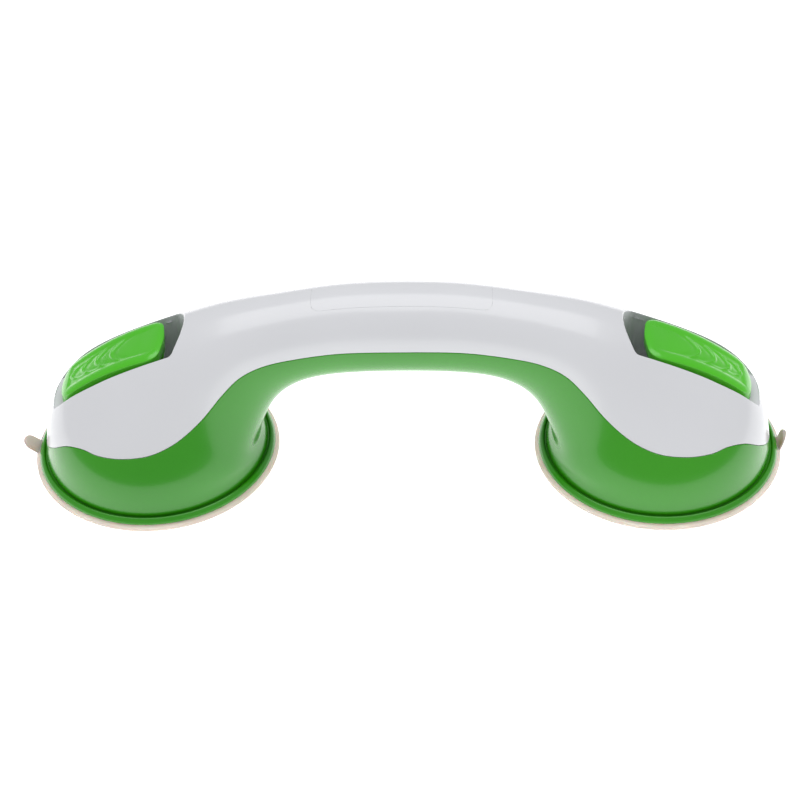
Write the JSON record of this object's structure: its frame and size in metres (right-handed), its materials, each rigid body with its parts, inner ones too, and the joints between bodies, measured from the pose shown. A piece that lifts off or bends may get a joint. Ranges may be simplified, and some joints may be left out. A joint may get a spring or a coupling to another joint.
{
  "type": "suction grab bar",
  "caption": "Arched two-tone grab bar held on a smooth wall by suction cups under two round bases, each cup locked by a flip lever.",
  "frame": {"origin": "on the plane of the two cup rims, which is the wall the bar is stuck to, midway between the two cups", "axes": "+X along the handle from the left base to the right base, +Z away from the wall towards the grip, +Y across the bar"},
  "size_m": [0.3037, 0.097, 0.0791],
  "materials": {
    "white_plastic": "gloss",
    "green_plastic": "gloss",
    "lever_plastic": "satin gloss",
    "clear_rubber": "translucent",
    "bright_steel": "bright",
    "zinc_steel": "zinc plated"
  },
  "bodies": {
    "root": {"upper_shell": "white_plastic", "lower_shell": "green_plastic", "top_inlay": "white_plastic", "left_cam_plate": "bright_steel", "left_screw_1": "zinc_steel", "left_screw_2": "zinc_steel", "left_screw_3": "zinc_steel", "left_screw_4": "zinc_steel", "right_cam_plate": "bright_steel", "right_screw_1": "zinc_steel", "right_screw_2": "zinc_steel", "right_screw_3": "zinc_steel", "right_screw_4": "zinc_steel"},
    "left_cup_unit": {"left_suction_cup": "clear_rubber", "left_puller_stud": "zinc_steel", "left_lever_pin": "bright_steel"},
    "left_lever_unit": {"left_lever": "lever_plastic"},
    "right_cup_unit": {"right_suction_cup": "clear_rubber", "right_puller_stud": "zinc_steel", "right_lever_pin": "bright_steel"},
    "right_lever_unit": {"right_lever": "lever_plastic"}
  },
  "joints": [
    {"name": "left_cup_pull", "type": "slide", "parent": "root", "child": "left_cup_unit", "axis": [0, 0, 1], "range_m": [-0.005, 0]},
    {"name": "left_lever_flip", "type": "hinge", "parent": "left_cup_unit", "child": "left_lever_unit", "pos_m": [-0.0993, 0, 0.046], "axis": [0, 1, 0], "range_deg": [0, 100]},
    {"name": "right_cup_pull", "type": "slide", "parent": "root", "child": "right_cup_unit", "axis": [0, 0, 1], "range_m": [-0.005, 0]},
    {"name": "right_lever_flip", "type": "hinge", "parent": "right_cup_unit", "child": "right_lever_unit", "pos_m": [0.0993, 0, 0.046], "axis": [0, -1, 0], "range_deg": [0, 100]}
  ],
  "couplings": [
    {"joint": "left_lever_flip", "follows": "left_cup_pull", "rad_per_m": -349.06},
    {"joint": "right_lever_flip", "follows": "right_cup_pull", "rad_per_m": -349.06}
  ]
}
